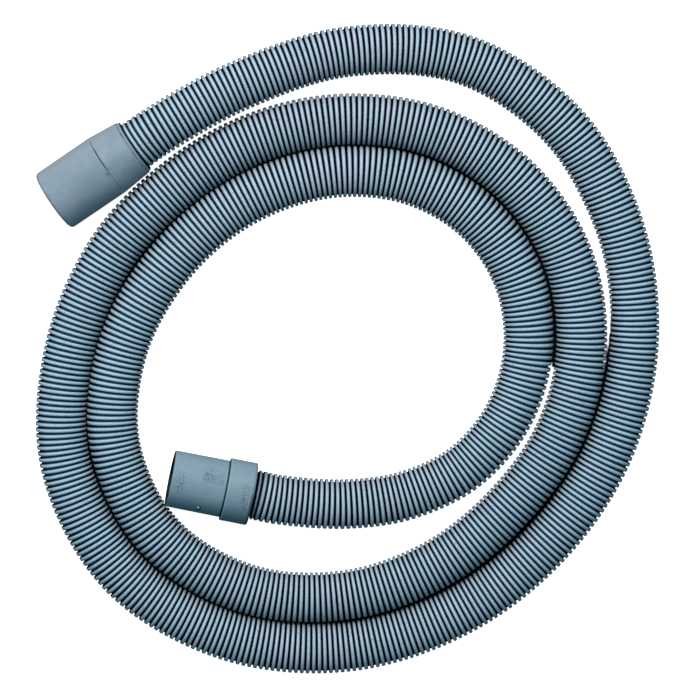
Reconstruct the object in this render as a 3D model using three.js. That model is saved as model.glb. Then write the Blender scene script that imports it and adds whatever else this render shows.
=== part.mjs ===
// Drain hose of a washing machine: a corrugated hose lying in a loose flat coil, with a moulded
// rubber cuff on each end. Sizes are in millimetres and angles in degrees. +Z is up, and the
// finished part stands on z = 0 with its middle over the origin.

import * as THREE from 'three';

// Corrugated hose. Each modelled rib stands for three ribs of the real hose.
const hoseDiameter = 23.9;
const hoseBore = 19.2;
const ribDepth = 1.3;
const realRibPitch = 2.58;
const realRibsPerRib = 3;
const hoseSides = 8;
const ribsPerBoreRing = 2;

// Coil. The bulges are how far the hose lies outside an even spiral, clockwise at every sixteenth
// of a turn, from the outer end to the inner one.
const turnSpacing = 23.75;
const innerRadius = 73;
const innerAngle = -810;
const bulgeStep = 22.5;
const bulges = [
  -0.2, 7.0, 15.3, 15.8, 11.4, 8.1, 7.3, 8.4, 13.3, 20.8, 28.1, 32.4, 27.7, 16.2, 6.8, -0.1,
  -1.9, -0.6, 3.0, 6.2, 8.0, 7.5, 6.4, 6.7, 11.8, 19.6, 27.6, 31.4, 26.1, 15.0, 4.7, -1.0,
  -3.0, -1.6, 1.5, 4.6, 6.1, 5.8, 4.5, 2.6, 0.1, 0.1,
];
const straightRun = 14;
const liftAngle = 80;

// Fit of the hose in the cuffs
const seatDepth = 20;
const fitGap = 0.3;
const stopThickness = 1.2;
const stopBore = 19;
const socketFlare = 0.5;
const boreChamfer = 1;
const rimWidth = 0.3;

// Plain cuff, on the outer end. The hose holds its hose end a little higher than its mouth.
const plainCuff = {
  angle: 136.15,
  bulge: 2.5,
  heading: 214.2,
  tilt: -3.2,
  length: 46.2,
  mouthBore: 22,
  mouthWall: 4.15,
  flareLength: 16.3,
  hoseEndWall: 1.65,
  hoseEndChamfer: 0.7,
  bodyWall: 2.95,
  mouthRounding: 1.8,
};

// Collared cuff, on the inner end. Its mouth is tipped up off the floor.
const collaredCuff = {
  angle: -843.6,
  bulge: 11.0,
  heading: 168.3,
  tilt: 2.7,
  length: 39.3,
  mouthBore: 19,
  mouthWall: 3.9,
  collarLength: 12.9,
  hoseEndWall: 2.6,
  hoseEndChamfer: 0.6,
  collarRounding: 0.3,
  bodyWall: 1.25,
  grooveDepth: 0.4,
  grooveWidth: 0.7,
  mouthRounding: 0.7,
};
const cuffFacets = 24;
const roundingSteps = 2;

const hoseMaterial = new THREE.MeshStandardMaterial({ color: 0x94a9bb, roughness: 0.45, metalness: 0 });
const cuffMaterial = new THREE.MeshStandardMaterial({ color: 0x7f95a4, roughness: 0.55, metalness: 0 });
const worldUp = new THREE.Vector3(0, 0, 1);
const socketRadius = hoseDiameter / 2 + fitGap;

/** A unit vector that points along a heading in the floor's plane, tipped up by a tilt. */
function direction(heading, tilt = 0) {
  const turn = THREE.MathUtils.degToRad(heading);
  const rise = THREE.MathUtils.degToRad(tilt);
  return new THREE.Vector3(
    Math.cos(turn) * Math.cos(rise),
    Math.sin(turn) * Math.cos(rise),
    Math.sin(rise),
  );
}

/** A point of the coil: on the even spiral at this angle, moved out by a bulge, at this height. */
function coilPoint(angle, bulge, height) {
  const turnsOut = (angle - innerAngle) / 360;
  const radius = innerRadius + turnsOut * turnSpacing + bulge;
  return direction(angle).multiplyScalar(radius).setZ(height);
}

/** How wide a cuff's mouth is outside, from its middle. */
function mouthRadius(cuff) {
  return cuff.mouthBore / 2 + cuff.mouthWall;
}

/** The chamfer at a cuff's hose end, which leaves a flat rim on its wall. */
function chamferOf(cuff) {
  return Math.min(cuff.hoseEndChamfer, cuff.hoseEndWall - socketFlare - rimWidth);
}

/** How high a cuff's hose end is, at its middle, when the lower of the cuff's ends is on the floor. */
function restingHeight(cuff) {
  const slope = direction(0, cuff.tilt);
  const chamfer = chamferOf(cuff);
  const rounding = cuff.mouthRounding;
  const onHoseEnd = (socketRadius + cuff.hoseEndWall) * slope.x - chamfer * slope.z;
  const mouthEdge = (mouthRadius(cuff) - rounding) * slope.x - (cuff.length - rounding) * slope.z;
  return Math.max(onHoseEnd, mouthEdge + rounding);
}

/** Where a cuff holds the hose: the middle of its hose end, its axis, and the hose's cut end. */
function seatOf(cuff) {
  const exit = coilPoint(cuff.angle, cuff.bulge, restingHeight(cuff));
  const axis = direction(cuff.heading, cuff.tilt);
  return { exit, axis, end: exit.clone().addScaledVector(axis, seatDepth) };
}

/** The hose's route: straight at each cuff, and round the coil on one smooth curve between. */
function routeBetween(outer, inner) {
  const floorHeight = hoseDiameter / 2;
  const leave = outer.exit.clone().addScaledVector(outer.axis, -straightRun);
  const arrive = inner.exit.clone().addScaledVector(inner.axis, -straightRun);
  const coilPoints = bulges.map((bulge, index) => {
    const angle = innerAngle + (bulges.length - 1 - index) * bulgeStep;
    const outerLift = (leave.z - floorHeight) * liftShare(plainCuff.angle - angle);
    const innerLift = (arrive.z - floorHeight) * liftShare(angle - collaredCuff.angle);
    return coilPoint(angle, bulge, floorHeight + outerLift + innerLift);
  });
  const coil = new THREE.CatmullRomCurve3([outer.exit, leave, ...coilPoints, arrive, inner.exit]);
  coil.arcLengthDivisions = 40 * coil.points.length;
  const route = new THREE.CurvePath();
  route.add(new THREE.LineCurve3(outer.end, outer.exit));
  route.add(coil);
  route.add(new THREE.LineCurve3(inner.exit, inner.end));
  return route;
}

/** How much of a cuff's lift reaches the hose this far from it: all at 0, none past liftAngle. */
function liftShare(angleAway) {
  return (1 + Math.cos(Math.PI * Math.min(1, angleAway / liftAngle))) / 2;
}

/** Rings of vertices round the route, evenly spaced, whose radius is worked out ring by ring. */
function ringsAlong(route, count, radiusOf) {
  const positions = [];
  for (let ring = 0; ring <= count; ring += 1) {
    const centre = route.getPoint(ring / count);
    const along = route.getTangent(ring / count);
    const side = new THREE.Vector3().crossVectors(worldUp, along).normalize();
    const up = new THREE.Vector3().crossVectors(along, side);
    for (let corner = 0; corner < hoseSides; corner += 1) {
      const turn = (2 * Math.PI * corner) / hoseSides;
      const point = centre.clone()
        .addScaledVector(side, radiusOf(ring) * Math.cos(turn))
        .addScaledVector(up, radiusOf(ring) * Math.sin(turn));
      positions.push(point.x, point.y, point.z);
    }
  }
  return positions;
}

/** The triangles between two rings that start at these vertices, facing out from the first side. */
function band(first, second) {
  const triangles = [];
  for (let corner = 0; corner < hoseSides; corner += 1) {
    const next = (corner + 1) % hoseSides;
    triangles.push(first + corner, first + next, second + next);
    triangles.push(first + corner, second + next, second + corner);
  }
  return triangles;
}

/** The hose: ribs outside, a plain bore inside and a flat ring at each cut end. */
function corrugatedHose(route) {
  const ribs = Math.round(route.getLength() / (realRibPitch * realRibsPerRib));
  const outerRings = 2 * ribs;
  const boreRings = Math.round(ribs / ribsPerBoreRing);
  const crest = hoseDiameter / 2;
  const outer = ringsAlong(route, outerRings, (ring) => (ring % 2 ? crest : crest - ribDepth));
  const bore = ringsAlong(route, boreRings, () => hoseBore / 2);
  const boreStart = outer.length / 3;
  const triangles = [];
  for (let ring = 0; ring < outerRings; ring += 1) {
    triangles.push(...band(ring * hoseSides, (ring + 1) * hoseSides));
  }
  for (let ring = 0; ring < boreRings; ring += 1) {
    triangles.push(...band(boreStart + (ring + 1) * hoseSides, boreStart + ring * hoseSides));
  }
  triangles.push(...band(boreStart, 0));
  triangles.push(...band(outerRings * hoseSides, boreStart + boreRings * hoseSides));
  const geometry = new THREE.BufferGeometry();
  geometry.setAttribute('position', new THREE.Float32BufferAttribute([...outer, ...bore], 3));
  geometry.setIndex(triangles);
  geometry.computeVertexNormals();
  return geometry;
}

/** Starts a cuff's profile: the flat rim at its hose end and the chamfer onto its side. */
function rimProfile(cuff) {
  const side = socketRadius + cuff.hoseEndWall;
  const profile = new THREE.Path();
  profile.moveTo(socketRadius + socketFlare, 0);
  profile.lineTo(side - chamferOf(cuff), 0);
  profile.lineTo(side, chamferOf(cuff));
  return profile;
}

/**
 * Ends a cuff's profile: its side runs on to the rounded edge of the mouth, and the inside comes
 * back from the flat mouth face along the bore, past the ring that stops the hose, to the socket.
 */
function closeProfile(profile, cuff) {
  const rounding = cuff.mouthRounding;
  const bore = cuff.mouthBore / 2;
  const stop = Math.min(stopBore / 2, bore);
  const stopFace = seatDepth + fitGap;
  profile.lineTo(mouthRadius(cuff), cuff.length - rounding);
  profile.absarc(mouthRadius(cuff) - rounding, cuff.length - rounding, rounding, 0, Math.PI / 2);
  profile.lineTo(bore + boreChamfer, cuff.length);
  profile.lineTo(bore, cuff.length - boreChamfer);
  if (bore > stop) {
    profile.lineTo(bore, stopFace + stopThickness);
    profile.lineTo(stop, stopFace + stopThickness);
  }
  profile.lineTo(stop, stopFace);
  profile.lineTo(socketRadius, stopFace);
  profile.lineTo(socketRadius, socketFlare);
  profile.lineTo(socketRadius + socketFlare, 0);
  return profile;
}

/** The plain cuff: it flares from its hose end, then runs nearly straight to its mouth. */
function plainProfile() {
  const profile = rimProfile(plainCuff);
  profile.lineTo(socketRadius + plainCuff.bodyWall, plainCuff.flareLength);
  return closeProfile(profile, plainCuff);
}

/** The collared cuff: a thick band over the hose, a fine groove, and a body that tapers to its mouth. */
function collaredProfile() {
  const cuff = collaredCuff;
  const collar = socketRadius + cuff.hoseEndWall;
  const body = socketRadius + cuff.bodyWall;
  const profile = rimProfile(cuff);
  profile.lineTo(collar, cuff.collarLength - cuff.collarRounding);
  profile.lineTo(collar - cuff.collarRounding, cuff.collarLength);
  profile.lineTo(body - cuff.grooveDepth, cuff.collarLength);
  profile.lineTo(body - cuff.grooveDepth, cuff.collarLength + cuff.grooveWidth);
  profile.lineTo(body, cuff.collarLength + cuff.grooveWidth + cuff.grooveDepth);
  return closeProfile(profile, cuff);
}

/** Turns a profile into a cuff and sets it on its seat, with a corner of its facets straight down. */
function cuffMesh(name, profile, seat) {
  const geometry = new THREE.LatheGeometry(profile.getPoints(roundingSteps), cuffFacets);
  const side = new THREE.Vector3().crossVectors(seat.axis, worldUp).normalize();
  const up = new THREE.Vector3().crossVectors(side, seat.axis);
  const mesh = new THREE.Mesh(geometry, cuffMaterial);
  mesh.name = name;
  mesh.quaternion.setFromRotationMatrix(new THREE.Matrix4().makeBasis(side, seat.axis, up));
  mesh.position.copy(seat.exit);
  return mesh;
}

/** The hose and its cuffs, around the middle of the coil. */
function drainHose() {
  const outer = seatOf(plainCuff);
  const inner = seatOf(collaredCuff);
  const hose = new THREE.Mesh(corrugatedHose(routeBetween(outer, inner)), hoseMaterial);
  hose.name = 'corrugated_hose';
  const group = new THREE.Group();
  group.add(hose);
  group.add(cuffMesh('plain_cuff', plainProfile(), outer));
  group.add(cuffMesh('collared_cuff', collaredProfile(), inner));
  return group;
}

/** Moves a group so that it stands on z = 0 with the middle of its box over the origin. */
function centred(group) {
  const box = new THREE.Box3().setFromObject(group, true);
  const middle = box.getCenter(new THREE.Vector3());
  group.position.set(-middle.x, -middle.y, -box.min.z);
  const part = new THREE.Group();
  part.add(group);
  return part;
}

export default centred(drainHose());
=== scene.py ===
"""Looks of a washing machine drain hose: a corrugated hose in a loose flat coil, with two cuffs.

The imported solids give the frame. The hose and both cuffs are drawn here as fine surfaces that lie
where their solids lie. Sizes are in metres, angles in degrees unless a name says otherwise.
"""

import math
from types import SimpleNamespace

import bpy
import numpy as np
from mathutils import Matrix, Vector


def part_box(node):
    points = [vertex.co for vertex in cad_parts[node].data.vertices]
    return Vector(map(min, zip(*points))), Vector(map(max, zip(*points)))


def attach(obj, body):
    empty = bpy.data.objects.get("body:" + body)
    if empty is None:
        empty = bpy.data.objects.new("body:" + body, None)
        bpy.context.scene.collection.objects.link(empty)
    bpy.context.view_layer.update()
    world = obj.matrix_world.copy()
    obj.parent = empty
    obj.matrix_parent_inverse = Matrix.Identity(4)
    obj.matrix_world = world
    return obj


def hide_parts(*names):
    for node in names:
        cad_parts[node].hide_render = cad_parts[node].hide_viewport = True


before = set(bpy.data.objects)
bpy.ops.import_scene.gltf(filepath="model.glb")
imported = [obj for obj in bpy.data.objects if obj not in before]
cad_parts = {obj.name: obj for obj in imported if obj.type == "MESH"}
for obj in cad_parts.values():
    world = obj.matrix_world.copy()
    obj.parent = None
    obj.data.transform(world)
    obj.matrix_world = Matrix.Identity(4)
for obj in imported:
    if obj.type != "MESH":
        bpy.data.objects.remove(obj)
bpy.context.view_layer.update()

MM = 0.001

# Hose
HOSE_DIAMETER = 23.9 * MM
HOSE_RADIUS = HOSE_DIAMETER / 2
RIB_PITCH = 2.58 * MM
RIB_DEPTH = 1.4 * MM
HOSE_WALL = 0.7 * MM
HOSE_SIDES = 24
BORE_STEP = 15 * MM
RIBBED_BORE_END = 26 * MM

# Coil: an even spiral, and how far the centreline bulges out of it at every sixteenth of a turn,
# clockwise from the outer end
TURN_SPACING = 23.75 * MM
INNER_RADIUS = 73 * MM
INNER_ANGLE = -810
BULGE_STEP = 22.5
BULGES = np.array([
    -0.2, 7.0, 15.3, 15.8, 11.4, 8.1, 7.3, 8.4, 13.3, 20.8, 28.1, 32.4, 27.7, 16.2, 6.8, -0.1,
    -1.9, -0.6, 3.0, 6.2, 8.0, 7.5, 6.4, 6.7, 11.8, 19.6, 27.6, 31.4, 26.1, 15.0, 4.7, -1.0,
    -3.0, -1.6, 1.5, 4.6, 6.1, 5.8, 4.5, 2.6, 0.1, 0.1,
]) * MM
STRAIGHT_RUN = 14 * MM
LIFT_ANGLE = 80
CURVE_STEPS = 60

# Fit of the hose in the cuffs
SEAT_DEPTH = 20 * MM
FIT_GAP = 0.3 * MM
STOP_THICKNESS = 1.2 * MM
STOP_BORE = 19 * MM
SOCKET_FLARE = 0.5 * MM
SOCKET_RADIUS = HOSE_RADIUS + FIT_GAP

PLAIN_CUFF = SimpleNamespace(
    angle=136.15,
    bulge=2.5 * MM,
    heading=214.2,
    tilt=-3.2,
    length=46.2 * MM,
    mouth_bore=22 * MM,
    mouth_wall=4.15 * MM,
    flare_length=16.3 * MM,
    hose_end_wall=1.65 * MM,
    hose_end_chamfer=0.7 * MM,
    body_wall=2.95 * MM,
    mouth_rounding=1.8 * MM,
)
COLLARED_CUFF = SimpleNamespace(
    angle=-843.6,
    bulge=11.0 * MM,
    heading=168.3,
    tilt=2.7,
    length=39.3 * MM,
    mouth_bore=19 * MM,
    mouth_wall=3.9 * MM,
    collar_length=12.9 * MM,
    hose_end_wall=2.6 * MM,
    hose_end_chamfer=0.6 * MM,
    collar_rounding=0.3 * MM,
    body_wall=1.25 * MM,
    groove_depth=0.4 * MM,
    groove_width=0.5 * MM,
    mouth_rounding=0.7 * MM,
)
BORE_CHAMFER = 1 * MM
CUFF_COLUMNS = 144
CUFF_ROW_STEP = 0.6 * MM
CUFF_INSIDE_ROW_STEP = 5 * CUFF_ROW_STEP


def direction(angle, tilt=0.0):
    """The unit vector (cos a cos t, sin a cos t, sin t) of a heading a tipped up by t."""
    turn = math.radians(angle)
    rise = math.radians(tilt)
    flat = math.cos(rise)
    return np.array([math.cos(turn) * flat, math.sin(turn) * flat, math.sin(rise)])


def coil_point(angle, bulge, height):
    """The point at radius inner + turns out x turn spacing + bulge, at this height."""
    turns_out = (angle - INNER_ANGLE) / 360
    radius = INNER_RADIUS + turns_out * TURN_SPACING + bulge
    point = radius * direction(angle)
    point[2] = height
    return point


def mouth_radius(cuff):
    """The outside radius of a cuff at its mouth."""
    return cuff.mouth_bore / 2 + cuff.mouth_wall


def resting_height(cuff):
    """The height of a cuff's hose end when the lower of its two ends lies on the floor.

    An edge that lies x along the axis and r out from it is r cos t - x sin t below the middle of
    the hose end, and a rounded edge adds its rounding.
    """
    slope = direction(0, cuff.tilt)
    rounding = cuff.mouth_rounding
    on_hose_end = (SOCKET_RADIUS + cuff.hose_end_wall) * slope[0] - cuff.hose_end_chamfer * slope[2]
    mouth_edge = (mouth_radius(cuff) - rounding) * slope[0] - (cuff.length - rounding) * slope[2]
    return max(on_hose_end, mouth_edge + rounding)


def seat_of(cuff):
    """Where a cuff holds the hose: the middle of its hose end, its axis and the hose's cut end."""
    exit_point = coil_point(cuff.angle, cuff.bulge, resting_height(cuff))
    axis = direction(cuff.heading, cuff.tilt)
    return SimpleNamespace(exit=exit_point, axis=axis, end=exit_point + SEAT_DEPTH * axis)


def lift_share(angle_away):
    """(1 + cos(pi a / lift angle)) / 2, and 0 past the lift angle."""
    return (1 + math.cos(math.pi * min(1.0, angle_away / LIFT_ANGLE))) / 2


def coil_points(outer, inner):
    """The points that the hose's centreline passes through, from cuff to cuff."""
    leave = outer.exit - STRAIGHT_RUN * outer.axis
    arrive = inner.exit - STRAIGHT_RUN * inner.axis
    points = [outer.exit, leave]
    for index, bulge in enumerate(BULGES):
        angle = INNER_ANGLE + (len(BULGES) - 1 - index) * BULGE_STEP
        outer_lift = (leave[2] - HOSE_RADIUS) * lift_share(PLAIN_CUFF.angle - angle)
        inner_lift = (arrive[2] - HOSE_RADIUS) * lift_share(angle - COLLARED_CUFF.angle)
        points.append(coil_point(angle, bulge, HOSE_RADIUS + outer_lift + inner_lift))
    return np.array(points + [arrive, inner.exit])


def smooth_curve(points, steps):
    """A centripetal Catmull-Rom curve through the points.

    Each point's tangent is the slope before it, minus the slope across it, plus the slope after
    it, each over the square root of its chord. Between two points runs the cubic
    p + m t + (3 (q - p) - 2 m - n) t^2 + (2 (p - q) + m + n) t^3.
    """
    padded = np.vstack([2 * points[:1] - points[1:2], points, 2 * points[-1:] - points[-2:-1]])
    chords = np.diff(padded, axis=0)
    gaps = np.sqrt(np.linalg.norm(chords, axis=1))[:, None]
    slopes = chords / gaps
    across = (padded[2:] - padded[:-2]) / (gaps[1:] + gaps[:-1])
    tangents = slopes[:-1] - across + slopes[1:]
    start = points[:-1, None]
    chord = chords[1:-1, None]
    leave = (tangents[:-1] * gaps[1:-1])[:, None]
    arrive = (tangents[1:] * gaps[1:-1])[:, None]
    t = np.linspace(0, 1, steps, endpoint=False)[None, :, None]
    curve = start + leave * t + (3 * chord - 2 * leave - arrive) * t**2
    curve = curve + (leave + arrive - 2 * chord) * t**3
    return np.vstack([curve.reshape(-1, 3), points[-1:]])


def hose_route(outer, inner):
    """The centreline as close points, with how far each lies along it: straight in the cuffs."""
    coil = smooth_curve(coil_points(outer, inner), CURVE_STEPS)
    line = np.vstack([outer.end, coil, inner.end])
    along = np.concatenate([[0], np.cumsum(np.linalg.norm(np.diff(line, axis=0), axis=1))])
    return SimpleNamespace(line=line, along=along, length=along[-1])


def on_route(route, places):
    """Centres, and the side and up vectors square to the route, at these distances along it."""
    centres = np.stack([np.interp(places, route.along, axis) for axis in route.line.T], axis=1)
    slopes = np.gradient(route.line, route.along, axis=0)
    along = np.stack([np.interp(places, route.along, axis) for axis in slopes.T], axis=1)
    along /= np.linalg.norm(along, axis=1, keepdims=True)
    side = np.cross([0, 0, 1], along)
    side /= np.linalg.norm(side, axis=1, keepdims=True)
    return centres, side, np.cross(along, side)


def make_object(name, points, faces, material, values):
    """A smooth mesh object from arrays of points and four-cornered faces.

    values maps an attribute's name to one number for each point.
    """
    mesh = bpy.data.meshes.new(name)
    mesh.vertices.add(len(points))
    mesh.vertices.foreach_set("co", points.astype(np.float32).ravel())
    mesh.loops.add(faces.size)
    mesh.loops.foreach_set("vertex_index", faces.astype(np.int32).ravel())
    mesh.polygons.add(len(faces))
    mesh.polygons.foreach_set("loop_start", np.arange(len(faces), dtype=np.int32) * 4)
    mesh.polygons.foreach_set("loop_total", np.full(len(faces), 4, dtype=np.int32))
    mesh.polygons.foreach_set("use_smooth", np.ones(len(faces), dtype=bool))
    mesh.update(calc_edges=True)
    for key, numbers in values.items():
        layer = mesh.attributes.new(key, "FLOAT", "POINT")
        layer.data.foreach_set("value", np.asarray(numbers, dtype=np.float32).ravel())
    mesh.validate()
    mesh.materials.append(material)
    obj = bpy.data.objects.new(name, mesh)
    bpy.context.scene.collection.objects.link(obj)
    return obj


def loop_faces(rows, columns):
    """The quads of a grid of points that is closed both ways, like a torus.

    Each row is joined to the next one, and the last row to the first.
    """
    row = np.arange(rows)[:, None]
    column = np.arange(columns)[None, :]
    next_row = (row + 1) % rows
    next_column = (column + 1) % columns
    corners = [
        row * columns + column,
        row * columns + next_column,
        next_row * columns + next_column,
        next_row * columns + column,
    ]
    return np.stack(corners, axis=-1).reshape(-1, 4)


# Across one rib, as shares of the pitch from one groove's middle, and how deep the surface lies
# there as a share of the rib's depth
RIB_STATIONS = np.array([-0.15, 0.15, 0.21, 0.5, 0.79])
RIB_DEPTHS = np.array([1.0, 1.0, 0.2, 0.0, 0.2])
# A bare strip of hose beside the collared cuff
RECESS = 1.3 * MM
# Runs of the hose, from its outer cut end, where one of its sides is out of round: which side (1
# away from the coil's middle, -1 toward it) and how far it swells
UNEVEN_RUNS = [
    (300 * MM, 366 * MM, -1, -0.6 * MM),
    (430 * MM, 745 * MM, -1, 0.25 * MM),
    (770 * MM, 1155 * MM, -1, 0.4 * MM),
    (1480 * MM, 1760 * MM, 1, 0.4 * MM),
]
UNEVEN_RAMP = 25 * MM


def rib_places(start, end):
    """Where the rib stations lie between two places, and how deep each is."""
    count = max(1, round((end - start) / RIB_PITCH))
    step = (end - start) / count
    places = start + step * (np.arange(count)[:, None] + RIB_STATIONS - RIB_STATIONS[0])
    depths = np.tile(RIB_DEPTHS, count)
    return places.ravel(), depths


def hose_rows(length):
    """The hose's surface along its length, out and back: places, radii and groove depths.

    Outside it follows the ribs from end to end, with a groove at the plain cuff's hose end and a
    bare strip at the collared cuff's. The bore follows them near its ends, where the cuffs' mouths
    show them, and is plain between.
    """
    plain_end = rib_places(0, SEAT_DEPTH)
    between = rib_places(SEAT_DEPTH, length)
    outside, depths = np.concatenate([plain_end, between], axis=1)
    depths[np.abs(outside - (length - SEAT_DEPTH)) < RECESS] = 1.0
    outer_radii = HOSE_RADIUS - RIB_DEPTH * depths
    near_end, end_depths = rib_places(0, RIBBED_BORE_END)
    plain = np.arange(RIBBED_BORE_END + BORE_STEP, length - RIBBED_BORE_END, BORE_STEP)
    inside = np.concatenate([near_end, plain, length - near_end[::-1]])
    bore = HOSE_RADIUS - RIB_DEPTH - HOSE_WALL
    bore_radii = np.concatenate([
        bore + RIB_DEPTH * (1 - end_depths),
        np.full(len(plain), bore),
        bore + RIB_DEPTH * (1 - end_depths[::-1]),
    ])
    places = np.concatenate([outside, inside[::-1]])
    radii = np.concatenate([outer_radii, bore_radii[::-1]])
    groove = np.concatenate([depths, np.ones(len(inside))])
    return places, radii, groove


def out_of_round(places, around):
    """How far each side is moved sideways: swell |cos v| on one half, dying away past a run's ends.

    The sum is 0 outside the runs. It's positive away from the coil's middle.
    """
    moved = np.zeros((len(places), len(around)))
    for start, end, half, swell in UNEVEN_RUNS:
        past = np.maximum(start - places, places - end)
        share = np.clip(1 - past / UNEVEN_RAMP, 0, 1)
        moved += half * swell * share[:, None] * np.maximum(0, half * np.cos(around))
    return moved


def corrugated_hose(route, shift, material):
    """centre(s) + r(s) (cos v side(s) + sin v up(s)), with r going down into every groove.

    The side, which points away from the coil's middle, is a little further out or in on the
    uneven runs.
    """
    places, radii, groove = hose_rows(route.length)
    centres, side, up = on_route(route, places)
    around = np.linspace(0, 2 * np.pi, HOSE_SIDES, endpoint=False)
    sideways = radii[:, None] * np.cos(around) + out_of_round(places, around)
    upward = radii[:, None] * np.sin(around)
    points = centres[:, None] + sideways[:, :, None] * side[:, None]
    points = points + upward[:, :, None] * up[:, None] + shift
    faces = loop_faces(len(places), HOSE_SIDES)
    values = {
        "groove": np.repeat(groove, HOSE_SIDES),
        "to_collar": np.repeat(route.length - SEAT_DEPTH - places, HOSE_SIDES),
        "northward": np.repeat(side[:, 0] ** 2, HOSE_SIDES),
        "upward": np.tile(np.sin(around), len(places)),
        "rib": np.repeat(np.arange(len(places)) // len(RIB_STATIONS), HOSE_SIDES),
    }
    return make_object("drain_hose_tube", points.reshape(-1, 3), faces, material, values)


def arc(centre_x, centre_r, radius, start, end, steps=5):
    """Points (x, r) on a circle's arc, from one angle to the other."""
    turn = np.radians(np.linspace(start, end, steps))
    return np.stack([centre_x + radius * np.cos(turn), centre_r + radius * np.sin(turn)], axis=1)


def filled(profile, step):
    """The profile with more points on its long runs, so that no two are further apart than this."""
    runs = []
    for start, end in zip(profile[:-1], profile[1:]):
        count = max(1, math.ceil(np.linalg.norm(end - start) / step))
        share = np.arange(count)[:, None] / count
        runs.append(start + share * (end - start))
    return np.vstack(runs + [profile[-1:]])


def inside_of(cuff):
    """A cuff's inside as points (x, r), from its mouth back to its hose end."""
    bore = cuff.mouth_bore / 2
    stop = min(STOP_BORE / 2, bore)
    stop_face = SEAT_DEPTH + FIT_GAP
    back = arc(cuff.length - BORE_CHAMFER, bore + BORE_CHAMFER, BORE_CHAMFER, 0, -90)
    ring = [[stop_face + STOP_THICKNESS, bore], [stop_face + STOP_THICKNESS, stop]]
    socket = [
        [stop_face, stop],
        [stop_face, SOCKET_RADIUS],
        [SOCKET_FLARE, SOCKET_RADIUS],
        [0, SOCKET_RADIUS + SOCKET_FLARE],
    ]
    return np.vstack([back] + ([ring] if bore > stop else []) + [socket])


def mouth_edge(cuff):
    """The rounded outer edge of a cuff's mouth, as points (x, r)."""
    rounding = cuff.mouth_rounding
    return arc(cuff.length - rounding, mouth_radius(cuff) - rounding, rounding, 90, 0, 8)


def plain_profile():
    """The outside of the plain cuff: stepped rim, flare, nearly straight body, rounded mouth."""
    cuff = PLAIN_CUFF
    side = SOCKET_RADIUS + cuff.hose_end_wall
    rim = side - cuff.hose_end_chamfer
    # The corners of the stepped rim, from the hose end to the cuff's side
    rim_steps = [
        [0, rim - 0.1 * MM],
        [0.1 * MM, rim],
        [1.0 * MM, rim + 0.1 * MM],
        [1.15 * MM, rim + 0.4 * MM],
        [1.5 * MM, side - 0.1 * MM],
        [1.9 * MM, side],
    ]
    flare_end = [[cuff.flare_length, SOCKET_RADIUS + cuff.body_wall]]
    return np.vstack([rim_steps, flare_end, mouth_edge(cuff)])


def collared_profile():
    """The outside of the collared cuff: rounded collar, fine groove, straight body, mouth."""
    cuff = COLLARED_CUFF
    collar = SOCKET_RADIUS + cuff.hose_end_wall
    body = SOCKET_RADIUS + cuff.body_wall
    rounding = cuff.collar_rounding
    chamfer = cuff.hose_end_chamfer
    bottom = body - cuff.groove_depth
    groove_end = cuff.collar_length + cuff.groove_width
    return np.vstack([
        [[0, collar - chamfer]],
        arc(chamfer, collar - chamfer, chamfer, 165, 90, 6),
        arc(cuff.collar_length - rounding, collar - rounding, rounding, 90, 0, 5),
        [[cuff.collar_length, bottom], [groove_end, bottom]],
        arc(groove_end + rounding, body - rounding, rounding, 180, 90, 4),
        mouth_edge(cuff),
    ])


def turned_cuff(name, outside, cuff, seat, shift, material):
    """exit + x axis + r (cos v up + sin v side), with (x, r) round the whole profile."""
    outside = filled(outside, CUFF_ROW_STEP)
    profile = np.vstack([outside, filled(inside_of(cuff), CUFF_INSIDE_ROW_STEP)])
    side = np.cross(seat.axis, [0, 0, 1])
    side /= np.linalg.norm(side)
    up = np.cross(side, seat.axis)
    around = np.linspace(0, 2 * np.pi, CUFF_COLUMNS, endpoint=False)
    ring = np.cos(around)[:, None] * up + np.sin(around)[:, None] * side
    points = seat.exit + profile[:, :1, None] * seat.axis + profile[:, 1:, None] * ring + shift
    faces = loop_faces(len(profile), CUFF_COLUMNS)
    row = np.arange(len(profile))
    values = {
        "along": np.repeat(profile[:, 0], CUFF_COLUMNS),
        "sideways": np.outer(profile[:, 1], np.sin(around)),
        "upward": np.tile(np.cos(around), len(profile)),
        "inside": np.repeat((row >= len(outside) - 1).astype(float), CUFF_COLUMNS),
    }
    return make_object(name, points.reshape(-1, 3), faces, material, values)


def feed(tree, socket, value):
    """Links an input to the value where that is an output, and sets it to the value otherwise."""
    if isinstance(value, bpy.types.NodeSocket):
        tree.links.new(value, socket)
    else:
        socket.default_value = value


def add_node(tree, kind, values=None, **settings):
    """A new node of this kind. Each value goes to the input of that name or number."""
    node = tree.nodes.new("ShaderNode" + kind)
    for key, setting in settings.items():
        setattr(node, key, setting)
    for key, value in (values or {}).items():
        feed(tree, node.inputs[key], value)
    return node


def maths(tree, operation, *values):
    """The result of one sum on numbers or links."""
    return add_node(tree, "Math", dict(enumerate(values)), operation=operation).outputs[0]


def product(tree, first, second):
    """The first times the second."""
    return maths(tree, "MULTIPLY", first, second)


def greater(tree, first, second):
    """The greater of two values."""
    return maths(tree, "MAXIMUM", first, second)


def attribute(tree, name):
    """One of the piece's own numbers, which lies at each of its points."""
    return add_node(tree, "Attribute", attribute_name=name).outputs["Fac"]


def spread(tree, value, low, high, to_low=0.0, to_high=1.0):
    """A smooth step: to_low where the value is low, to_high where it is high."""
    ends = {"Value": value, "From Min": low, "From Max": high, "To Min": to_low, "To Max": to_high}
    return add_node(tree, "MapRange", ends, interpolation_type="SMOOTHSTEP").outputs["Result"]


def blend(tree, share, first, second, blend_type="MIX"):
    """Two colours mixed by a share."""
    values = {0: share, 6: first, 7: second}
    return add_node(tree, "Mix", values, data_type="RGBA", blend_type=blend_type).outputs[2]


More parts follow.
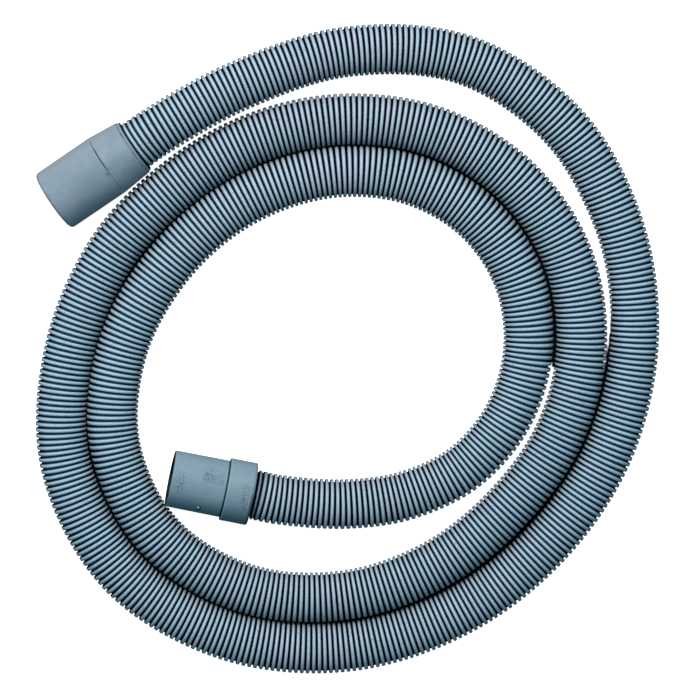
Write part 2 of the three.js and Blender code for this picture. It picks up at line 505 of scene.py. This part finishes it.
def tinted(tree, colour, tint, mask, strength):
    """The colour, taken toward a tint by mask x strength."""
    return blend(tree, product(tree, mask, strength), colour, tint)


def noise(tree, vector, size, detail=2.0, roughness=0.5):
    """Noise whose lumps are about this many metres across."""
    values = {"Vector": vector, "Scale": 1 / size, "Detail": detail, "Roughness": roughness}
    return add_node(tree, "TexNoise", values).outputs["Fac"]


def new_group(name, inputs, outputs):
    """A node group, with its input and output nodes.

    inputs maps each input's name to its kind of socket. The outputs are all numbers.
    """
    tree = bpy.data.node_groups.new(name, "ShaderNodeTree")
    for socket, kind in inputs.items():
        tree.interface.new_socket(name=socket, in_out="INPUT", socket_type="NodeSocket" + kind)
    for socket in outputs:
        tree.interface.new_socket(name=socket, in_out="OUTPUT", socket_type="NodeSocketFloat")
    return tree, tree.nodes.new("NodeGroupInput"), tree.nodes.new("NodeGroupOutput")


def use_group(tree, group, **values):
    """A node that uses a group. Each value goes to the input of that name."""
    named = {key.capitalize(): value for key, value in values.items()}
    return add_node(tree, "Group", named, node_tree=group)


def grain_group():
    """Moulded plastic and rubber: a slow mottling of the tone, and a fine grain for bumps.

    Each is 0.6 of a coarser noise plus 0.4 of a finer one.
    """
    tree, given, result = new_group("moulded_grain", {"Vector": "Vector"}, ["Tone", "Height"])
    vector = given.outputs["Vector"]
    broad = noise(tree, vector, 14 * MM, detail=3)
    close = noise(tree, vector, 3 * MM, detail=3, roughness=0.6)
    fine = noise(tree, vector, 0.5 * MM)
    for output, coarser, finer in (("Tone", broad, close), ("Height", close, fine)):
        both = maths(tree, "ADD", product(tree, coarser, 0.6), product(tree, finer, 0.4))
        tree.links.new(both, result.inputs[output])
    return tree


def specks_group():
    """Dark specks in loose patches: where fine noise plus amount x slow noise is high."""
    inputs = {"Vector": "Vector", "Size": "Float", "Amount": "Float"}
    tree, given, result = new_group("dark_specks", inputs, ["Mask"])
    vector = given.outputs["Vector"]
    scale = maths(tree, "DIVIDE", 1.0, given.outputs["Size"])
    values = {"Vector": vector, "Scale": scale, "Detail": 2.0, "Roughness": 0.55}
    fine = add_node(tree, "TexNoise", values).outputs["Fac"]
    slow = noise(tree, vector, 9 * MM, detail=3, roughness=0.6)
    both = maths(tree, "ADD", fine, product(tree, slow, given.outputs["Amount"]))
    tree.links.new(spread(tree, both, 0.80, 0.92), result.inputs["Mask"])
    return tree


def band_group():
    """A soft-edged band: 1 where the value is within reach of the middle, 0 past the blur."""
    inputs = {"Value": "Float", "Middle": "Float", "Reach": "Float", "Blur": "Float"}
    tree, given, result = new_group("soft_band", inputs, ["Mask"])
    offset = maths(tree, "SUBTRACT", given.outputs["Value"], given.outputs["Middle"])
    away = maths(tree, "ABSOLUTE", offset)
    reach = given.outputs["Reach"]
    end = maths(tree, "ADD", reach, given.outputs["Blur"])
    tree.links.new(spread(tree, away, reach, end, 1.0, 0.0), result.inputs["Mask"])
    return tree


GRAIN = grain_group()
SPECKS = specks_group()
BAND = band_group()


def band(tree, value, middle, reach, blur):
    """1 where the value is within reach of the middle, fading to 0 over the blur."""
    return use_group(tree, BAND, value=value, middle=middle, reach=reach, blur=blur).outputs["Mask"]


def specks(tree, place, size, amount):
    """Where specks of this width lie; more of them show with a higher amount."""
    return use_group(tree, SPECKS, vector=place, size=size, amount=amount).outputs["Mask"]


def new_material(name):
    """A material, its node tree and its shader."""
    material = bpy.data.materials.new(name)
    material.use_nodes = True
    return material, material.node_tree, material.node_tree.nodes["Principled BSDF"]


def object_place(tree):
    """Where a point lies in its object's own frame."""
    return add_node(tree, "TexCoord").outputs["Object"]


def add_bump(tree, shader, height, strength, distance):
    """Lets a height tip the shader's normals."""
    bump = add_node(tree, "Bump", {"Height": height, "Strength": strength, "Distance": distance})
    tree.links.new(bump.outputs["Normal"], shader.inputs["Normal"])


# The hose's colours, linear, and its gloss. The northward tint is painted light: it multiplies the
# ribs' colour where the hose runs north or south. The shoulder colour is a painted highlight, the
# flank and groove colours are painted shade, and the dirt colour also paints shade beside the
# collared cuff.
HOSE_LILAC = (0.408, 0.422, 0.500, 1)
HOSE_GREEN_GREY = (0.362, 0.449, 0.475, 1)
HOSE_NORTHWARD_LIGHT_TINT = (0.92, 1.04, 1.07, 1)
HOSE_MOTTLING = (0.25, 0.30, 0.35, 1)
HOSE_SHOULDER_HIGHLIGHT = (0.46, 0.51, 0.56, 1)
HOSE_DIRT_AND_SHADE = (0.05, 0.075, 0.095, 1)
HOSE_FLANK_SHADE = (0.03, 0.045, 0.06, 1)
GROOVE_SHADE = (0.001, 0.003, 0.007, 1)
GROOVE_SHADE_LIT_CROWN = (0.024, 0.068, 0.100, 1)
HOSE_GLOSS = 0.02
# Painted shade down the hose's flanks: full at the first height, gone at the second, and how
# strong.
# Heights are shares of the radius, above the hose's middle.
FLANK_PAINTED_SHADES = [(0.3, 0.9, 0.28), (0.0, 0.35, 0.20)]


def hose_material():
    """Pale blue-grey ribs, lilac to green-grey in places, over grooves painted near-black as shade.

    The ribs have shoulders painted paler as highlights, flanks painted darker as shade, specks of
    dirt, and painted shade beside the collared cuff. Where the hose runs north or south the ribs
    take a painted tint of light, and on the crown the grooves' painted shade is a little bluer and
    lighter, as painted light on their walls.
    """
    material, tree, shader = new_material("hose_plastic")
    place = object_place(tree)
    grain = use_group(tree, GRAIN, vector=place)
    tone = grain.outputs["Tone"]
    depth = attribute(tree, "groove")
    northward = attribute(tree, "northward")
    upward = attribute(tree, "upward")
    rib = maths(tree, "FLOOR", maths(tree, "ADD", attribute(tree, "rib"), 0.5))
    per_rib = add_node(tree, "TexWhiteNoise", {"W": rib}, noise_dimensions="1D").outputs["Value"]
    drift = noise(tree, place, 7 * MM, detail=3, roughness=0.6)
    hue = spread(tree, maths(tree, "ADD", product(tree, per_rib, 0.3), drift), 0.45, 0.85)
    crest = blend(tree, hue, HOSE_LILAC, HOSE_GREEN_GREY)
    # Painted light: the ribs are tinted where the hose runs north or south.
    crest = blend(tree, northward, crest, HOSE_NORTHWARD_LIGHT_TINT, "MULTIPLY")
    crest = blend(tree, spread(tree, tone, 0.35, 0.65, 0.0, 0.22), crest, HOSE_MOTTLING)
    # Painted highlight on the ribs' shoulders.
    crest = tinted(tree, crest, HOSE_SHOULDER_HIGHLIGHT, band(tree, depth, 0.13, 0.05, 0.1), 0.35)
    # Painted shade on the ribs beside the collared cuff, with specks of dirt all along the hose.
    shade_beside_cuff = spread(tree, attribute(tree, "to_collar"), 2.5 * MM, 6 * MM, 0.55, 0.0)
    dirt_and_shade = greater(tree, product(tree, specks(tree, place, 0.7 * MM, 0.42), 0.45), shade_beside_cuff)
    crest = blend(tree, dirt_and_shade, crest, HOSE_DIRT_AND_SHADE)
    # Painted shade down the flanks.
    for low, high, strength in FLANK_PAINTED_SHADES:
        crest = blend(tree, spread(tree, upward, low, high, strength, 0.0), crest, HOSE_FLANK_SHADE)
    # Painted shade in the grooves. On the crown, where the hose runs north or south, it is lighter
    # and bluer, as painted light on the grooves' walls.
    groove_shade_mask = spread(tree, depth, 0.08, 0.30)
    lit_crown = product(tree, spread(tree, upward, 0.3, 0.9), northward)
    groove = blend(tree, lit_crown, GROOVE_SHADE, GROOVE_SHADE_LIT_CROWN)
    tree.links.new(blend(tree, groove_shade_mask, crest, groove), shader.inputs["Base Color"])
    rough = maths(tree, "ADD", spread(tree, tone, 0.3, 0.7, 0.40, 0.54), product(tree, groove_shade_mask, 0.4))
    tree.links.new(rough, shader.inputs["Roughness"])
    shader.inputs["Specular IOR Level"].default_value = HOSE_GLOSS
    add_bump(tree, shader, grain.outputs["Height"], 0.35, 0.12 * MM)
    return material


# Both cuffs' painted shade inside, linear, and their gloss
CUFF_INSIDE_SHADE = (0.004, 0.006, 0.009, 1)
CUFF_GLOSS = 0.2


def cuff_base(name, pale, dark):
    """Dull rubber, mottled between two tones, ready for each cuff's own marks."""
    material, tree, shader = new_material(name)
    place = object_place(tree)
    grain = use_group(tree, GRAIN, vector=place)
    colour = blend(tree, spread(tree, grain.outputs["Tone"], 0.36, 0.64), pale, dark)
    parts = SimpleNamespace(
        tree=tree, shader=shader, place=place, grain=grain,
        along=attribute(tree, "along"), sideways=attribute(tree, "sideways"),
        upper_half=spread(tree, attribute(tree, "upward"), 0.0, 0.15),
        inside=attribute(tree, "inside"),
    )
    return material, parts, colour


def spot(parts, along, sideways, core, edge):
    """A round soft-edged mark on a cuff's upper half, this far along it and sideways.

    It's 1 within the core's radius of its middle and 0 past the edge's.
    """
    tree = parts.tree
    squares = [
        maths(tree, "POWER", maths(tree, "SUBTRACT", value, middle), 2.0)
        for value, middle in ((parts.along, along), (parts.sideways, sideways))
    ]
    away = maths(tree, "SQRT", maths(tree, "ADD", *squares))
    return product(tree, spread(tree, away, core, edge, 1.0, 0.0), parts.upper_half)


def finish_cuff(parts, colour, marks):
    """Darkens a cuff's inside with painted shade and lets its marks dent it."""
    tree = parts.tree
    # Painted shade inside the cuff.
    colour = blend(tree, parts.inside, colour, CUFF_INSIDE_SHADE)
    tree.links.new(colour, parts.shader.inputs["Base Color"])
    rough = spread(tree, parts.grain.outputs["Tone"], 0.3, 0.7, 0.52, 0.68)
    tree.links.new(rough, parts.shader.inputs["Roughness"])
    parts.shader.inputs["Specular IOR Level"].default_value = CUFF_GLOSS
    height = maths(tree, "SUBTRACT", parts.grain.outputs["Height"], product(tree, marks, 0.8))
    add_bump(tree, parts.shader, height, 0.5, 0.1 * MM)


# The plain cuff's colours, linear. The step colour is painted shade and the side light is painted
# light.
PLAIN_PALE = (0.216, 0.250, 0.282, 1)
PLAIN_DARK = (0.182, 0.219, 0.252, 1)
PLAIN_LINE = (0.015, 0.028, 0.042, 1)
PLAIN_NICK = (0.05, 0.10, 0.12, 1)
PLAIN_STEP_SHADE = (0.02, 0.03, 0.042, 1)
PLAIN_SPECK = (0.10, 0.14, 0.18, 1)
PLAIN_SIDE_LIGHT = (0.27, 0.28, 0.285, 1)
# Its marks: how far along the cuff the parting line and the rim's step of painted shade lie, and
# the place along and sideways, core radius and edge radius of each nick
LINE_PLACE = PLAIN_CUFF.flare_length - 0.8 * MM
STEP_PLACE = 1.2 * MM
NICKS = [
    (15.0 * MM, -1.5 * MM, 0.6 * MM, 1.4 * MM),
    (16.1 * MM, -3.6 * MM, 0.5 * MM, 1.2 * MM),
]


def plain_material():
    """The plain cuff: a mould's parting line by the flare's end and two small nicks beside it.

    It also has a ragged step at its rim painted dark as shade, faint specks, and one side painted
    paler as light. The line is clear toward that side and faint on the rest of the top.
    """
    material, parts, colour = cuff_base("plain_cuff_rubber", PLAIN_PALE, PLAIN_DARK)
    tree = parts.tree
    line = band(tree, parts.along, LINE_PLACE, 0.16 * MM, 0.28 * MM)
    clear = band(tree, parts.sideways, 6.5 * MM, 6.5 * MM, 1.5 * MM)
    clear = product(tree, clear, spread(tree, parts.sideways, 8 * MM, 11 * MM, 1.0, 0.55))
    faint = band(tree, parts.sideways, 0.0, 12.5 * MM, 1 * MM)
    shown = greater(tree, clear, product(tree, faint, 0.3))
    line = product(tree, product(tree, line, shown), parts.upper_half)
    colour = blend(tree, line, colour, PLAIN_LINE)
    first_nick, second_nick = [spot(parts, *nick) for nick in NICKS]
    nicks = product(
        tree, specks(tree, parts.place, 1.0 * MM, 0.85), greater(tree, first_nick, second_nick))
    colour = tinted(tree, colour, PLAIN_NICK, nicks, 0.6)
    # Painted shade on the rim's step, made ragged.
    ragged = spread(tree, noise(tree, parts.place, 1.6 * MM), 0.4, 0.6, 0.35, 0.95)
    step = product(tree, band(tree, parts.along, STEP_PLACE, 0.12 * MM, 0.2 * MM), ragged)
    colour = blend(tree, step, colour, PLAIN_STEP_SHADE)
    colour = tinted(tree, colour, PLAIN_SPECK, specks(tree, parts.place, 0.8 * MM, 0.36), 0.3)
    # Painted light: one side of the cuff is made paler.
    side_light = spread(tree, parts.sideways, 8 * MM, 14 * MM, 0.0, 0.5)
    off_line = maths(tree, "SUBTRACT", 1.0, line)
    colour = tinted(tree, colour, PLAIN_SIDE_LIGHT, side_light, off_line)
    finish_cuff(parts, colour, greater(tree, line, nicks))
    return material


# The collared cuff's colours, linear. The low side, groove, hose end, mouth rim and pip shade
# colours are painted shade, and the edge and pip glint colours are painted highlights.
COLLARED_PALE = (0.208, 0.268, 0.298, 1)
COLLARED_DARK = (0.184, 0.241, 0.275, 1)
COLLARED_LOW_SIDE_SHADE = (0.050, 0.130, 0.160, 1)
COLLARED_SPECK = (0.05, 0.08, 0.10, 1)
COLLARED_GROOVE_SHADE = (0.012, 0.022, 0.034, 1)
COLLARED_EDGE_HIGHLIGHT = (0.34, 0.42, 0.46, 1)
COLLARED_HOSE_END_SHADE = (0.030, 0.030, 0.042, 1)
COLLARED_MOUTH_RIM_SHADE = (0.002, 0.003, 0.005, 1)
PIP_GLINT = (1, 1, 1, 1)
PIP_SHADE = (0.01, 0.03, 0.04, 1)
# Its patches of specks, by the mouth, above the body's middle and on the collar: the middle,
# reach and blur of each along the cuff, then the same sideways
SPECK_PATCHES = [
    ((COLLARED_CUFF.length - 4 * MM, 1 * MM, 3 * MM), (0.0, 3 * MM, 4 * MM)),
    ((20 * MM, 3 * MM, 4 * MM), (6 * MM, 1.5 * MM, 3 * MM)),
    ((2.5 * MM, 1.5 * MM, 4 * MM), (-1 * MM, 4 * MM, 6 * MM)),
]
# Its pip, painted as a white glint, and the painted shade around it: place along and sideways,
# core radius and edge radius
PIP_GLINT_SPOT = (24.2 * MM, -9.9 * MM, 0.45 * MM, 0.65 * MM)
PIP_SURROUND = (23.9 * MM, -10.2 * MM, 0.9 * MM, 1.6 * MM)


def collared_material():
    """The collared cuff: greener, with speckled patches, painted shade and a painted glint.

    Its low side, groove, hose end and mouth's rim are painted dark as shade, its pip is painted as
    a white glint in a dark surround, and the collar's edge is painted pale as a highlight.
    """
    material, parts, colour = cuff_base("collared_cuff_rubber", COLLARED_PALE, COLLARED_DARK)
    tree = parts.tree
    cuff = COLLARED_CUFF
    # Painted shade on the low side.
    low_side_shade = spread(tree, parts.sideways, -13 * MM, -2 * MM, 0.65, 0.0)
    colour = blend(tree, low_side_shade, colour, COLLARED_LOW_SIDE_SHADE)
    patches = 0.0
    for along, sideways in SPECK_PATCHES:
        patch = product(
            tree, band(tree, parts.along, *along), band(tree, parts.sideways, *sideways))
        patches = greater(tree, patches, patch)
    shown = spread(tree, patches, 0.0, 1.0, 0.08, 0.62)
    colour = tinted(tree, colour, COLLARED_SPECK, specks(tree, parts.place, 0.8 * MM, 0.54), shown)
    # Painted shade in the fine groove.
    groove = band(tree, parts.along, cuff.collar_length + 0.3 * MM, 0.3 * MM, 0.15 * MM)
    colour = tinted(tree, colour, COLLARED_GROOVE_SHADE, groove, 0.9)
    # Painted highlight on the collar's edge.
    edge = band(tree, parts.along, cuff.collar_length - 0.35 * MM, 0.15 * MM, 0.2 * MM)
    colour = tinted(tree, colour, COLLARED_EDGE_HIGHLIGHT, edge, 0.35)
    # Painted shade on the hose end's rounded edge, stronger on the low side.
    hose_end_shade = band(tree, parts.along, 0.0, 0.9 * MM, 0.5 * MM)
    hose_end_shade_strength = spread(tree, parts.sideways, -3 * MM, 4 * MM, 0.85, 0.25)
    colour = tinted(tree, colour, COLLARED_HOSE_END_SHADE, hose_end_shade, hose_end_shade_strength)
    # Painted shade on the mouth's rim.
    rim = spread(tree, parts.along, cuff.length - 0.3 * MM, cuff.length - 0.1 * MM)
    colour = blend(tree, rim, colour, COLLARED_MOUTH_RIM_SHADE)
    # The pip: a painted glint in a ring of painted shade.
    colour = tinted(tree, colour, PIP_SHADE, spot(parts, *PIP_SURROUND), 0.9)
    colour = blend(tree, spot(parts, *PIP_GLINT_SPOT), colour, PIP_GLINT)
    finish_cuff(parts, colour, groove)
    return material


# Camera: overhead, a little to the north and west, looking at the middle of the coil
CAMERA_PLACE = (-52.9 * MM, 144.3 * MM, 1740 * MM)
CAMERA_TARGET = (0, 0.47 * MM, 11.7 * MM)
VIEW_ANGLE = 10.77
# Soft light from a wide lamp to the north, and a sky that is brighter on that side
LAMP_AZIMUTH = 110
LAMP_HEIGHT = 48
LAMP_DISTANCE = 1.6
LAMP_WIDTH = 1.0
LAMP_POWER = 29
SKY_COLOUR = (0.22, 0.42, 0.53, 1)
SKY_SLOPE = 0.5


def place_camera(shift):
    """The camera, with north at the top of its picture."""
    camera = bpy.data.cameras.new("camera")
    camera.angle = math.radians(VIEW_ANGLE)
    camera.clip_end = 100
    obj = bpy.data.objects.new("camera", camera)
    bpy.context.scene.collection.objects.link(obj)
    moved = Vector((shift[0], shift[1], 0))
    obj.location = Vector(CAMERA_PLACE) + moved
    back = (Vector(CAMERA_PLACE) - Vector(CAMERA_TARGET)).normalized()
    right = Vector((0, 1, 0)).cross(back).normalized()
    above = back.cross(right)
    obj.rotation_euler = Matrix((right, above, back)).transposed().to_euler()
    bpy.context.scene.camera = obj


def place_lights():
    """A round lamp, and a sky whose strength is 1 + slope x the north part of its direction."""
    lamp = bpy.data.lights.new("key", "AREA")
    lamp.shape = "DISK"
    lamp.size = LAMP_WIDTH
    lamp.energy = LAMP_POWER
    key = bpy.data.objects.new("key", lamp)
    to_lamp = Vector(direction(LAMP_AZIMUTH, LAMP_HEIGHT))
    key.location = to_lamp * LAMP_DISTANCE
    key.rotation_euler = to_lamp.to_track_quat("Z", "Y").to_euler()
    bpy.context.scene.collection.objects.link(key)
    world = bpy.data.worlds.new("studio")
    bpy.context.scene.world = world
    world.use_nodes = True
    tree = world.node_tree
    background = tree.nodes["Background"]
    background.inputs["Color"].default_value = SKY_COLOUR
    sky_direction = add_node(tree, "TexCoord").outputs["Generated"]
    north = add_node(tree, "SeparateXYZ", {"Vector": sky_direction}).outputs["Y"]
    strength = maths(tree, "MULTIPLY_ADD", north, SKY_SLOPE, 1.0)
    tree.links.new(strength, background.inputs["Strength"])


# The run of the hose, from its outer cut end, with a seam painted dark as shade between it and the
# next turn in, and how much sky that seam loses, in radians
CLOSED_RUN = (367.5 * MM, 1161 * MM)
CLOSED_SKY = 0.16
# The floor is painted shade where its points see less sky than the first of these, white past the
# second
OPEN_SKY = (0.015, 0.035)
# A grid that is fine under the coil and goes on far past it
FLOOR_STEP = 2 * MM
FLOOR_FINE_HALF = 170 * MM
FLOOR_HALF = 30
# How many points of the hose the floor's shade is worked out from, and how many points along it
# are worked out at the end, which nothing uses
FLOOR_SAMPLES = 660
CORD_SAMPLES = 700
# The floor's colours, linear: open, and painted shade in a closed seam, for the camera, and all of
# it for the light that it throws back
FLOOR_OPEN = (0.9, 0.9, 0.9, 1)
FLOOR_SEAM_SHADE = (0.02, 0.025, 0.03, 1)
FLOOR_BOUNCE = (0.12, 0.12, 0.12, 1)
FLOOR_GLOW = 0.95


def floor_openness(places, centres, along):
    """How much sky each point of the floor sees across the hose that lies on both its sides.

    A hose of radius r that lies d away hides the angle 2 atan(r / d) above the floor, so between
    one turn d inside and one e outside the sky is pi - 2 atan(r / d) - 2 atan(r / e) wide. Inside
    the closed run, whose narrow seam is dark all along, the closed sky comes off that.
    """
    away = np.linalg.norm(places[:, None] - centres[None], axis=2)
    outside = np.linalg.norm(centres, axis=1)[None] > np.linalg.norm(places, axis=1)[:, None]
    beyond = np.where(outside, away, np.inf)
    to_outer = beyond.min(axis=1)
    to_inner = np.where(outside, np.inf, away).min(axis=1)
    sky = np.pi - 2 * np.arctan(HOSE_RADIUS / to_outer) - 2 * np.arctan(HOSE_RADIUS / to_inner)
    outer_place = along[beyond.argmin(axis=1)]
    closed = (outer_place > CLOSED_RUN[0]) & (outer_place < CLOSED_RUN[1])
    return sky - CLOSED_SKY * closed


def place_floor(route, shift):
    """White to the camera where it lies open, painted shade where two turns of the hose close over
    it.
    """
    material, tree, shader = new_material("floor_white")
    shader.inputs["Roughness"].default_value = 1
    shader.inputs["Specular IOR Level"].default_value = 0
    openness = spread(tree, attribute(tree, "openness"), *OPEN_SKY)
    seen = add_node(tree, "LightPath").outputs["Is Camera Ray"]
    # Painted shade on the floor in the closed seams.
    white = blend(tree, openness, FLOOR_SEAM_SHADE, FLOOR_OPEN)
    tree.links.new(blend(tree, seen, FLOOR_BOUNCE, white), shader.inputs["Base Color"])
    glow = add_node(tree, "Emission")
    strength = product(tree, product(tree, openness, seen), FLOOR_GLOW)
    tree.links.new(strength, glow.inputs["Strength"])
    both = tree.nodes.new("ShaderNodeAddShader")
    tree.links.new(shader.outputs["BSDF"], both.inputs[0])
    tree.links.new(glow.outputs["Emission"], both.inputs[1])
    tree.links.new(both.outputs["Shader"], tree.nodes["Material Output"].inputs["Surface"])
    fine = np.arange(-FLOOR_FINE_HALF, FLOOR_FINE_HALF, FLOOR_STEP)
    line = np.concatenate([[-FLOOR_HALF], fine, [FLOOR_HALF]])
    x, y = np.meshgrid(line, line)
    points = np.stack([x.ravel(), y.ravel(), np.zeros(x.size)], axis=1)
    count = len(line)
    corner = (np.arange(count - 1)[:, None] * count + np.arange(count - 1)[None, :]).ravel()
    faces = np.stack([corner, corner + 1, corner + count + 1, corner + count], axis=1)
    along = np.linspace(0, route.length, FLOOR_SAMPLES)
    centres, _, _ = on_route(route, along)
    openness = floor_openness(points[:, :2], (centres + shift)[:, :2], along)
    floor = make_object("floor", points, faces, material, {"openness": openness})


outer = seat_of(PLAIN_CUFF)
inner = seat_of(COLLARED_CUFF)
route = hose_route(outer, inner)

low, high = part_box("corrugated_hose")
shift = (np.array(low) + np.array(high)) / 2
shift[:2] -= (route.line.min(axis=0) + route.line.max(axis=0))[:2] / 2
shift[2] = low[2] - (route.line[:, 2].min() - HOSE_RADIUS)

hose = corrugated_hose(route, shift, hose_material())
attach(hose, "root")
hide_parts("corrugated_hose")
plain = turned_cuff(
    "plain_cuff_moulded", plain_profile(), PLAIN_CUFF, outer, shift, plain_material())
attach(plain, "root")
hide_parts("plain_cuff")
collared = turned_cuff(
    "collared_cuff_moulded", collared_profile(), COLLARED_CUFF, inner, shift, collared_material())
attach(collared, "root")
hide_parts("collared_cuff")

centres, _, _ = on_route(route, np.linspace(0, route.length, CORD_SAMPLES))

place_camera(shift)
place_lights()
place_floor(route, shift)
bpy.context.scene.view_settings.view_transform = "Standard"
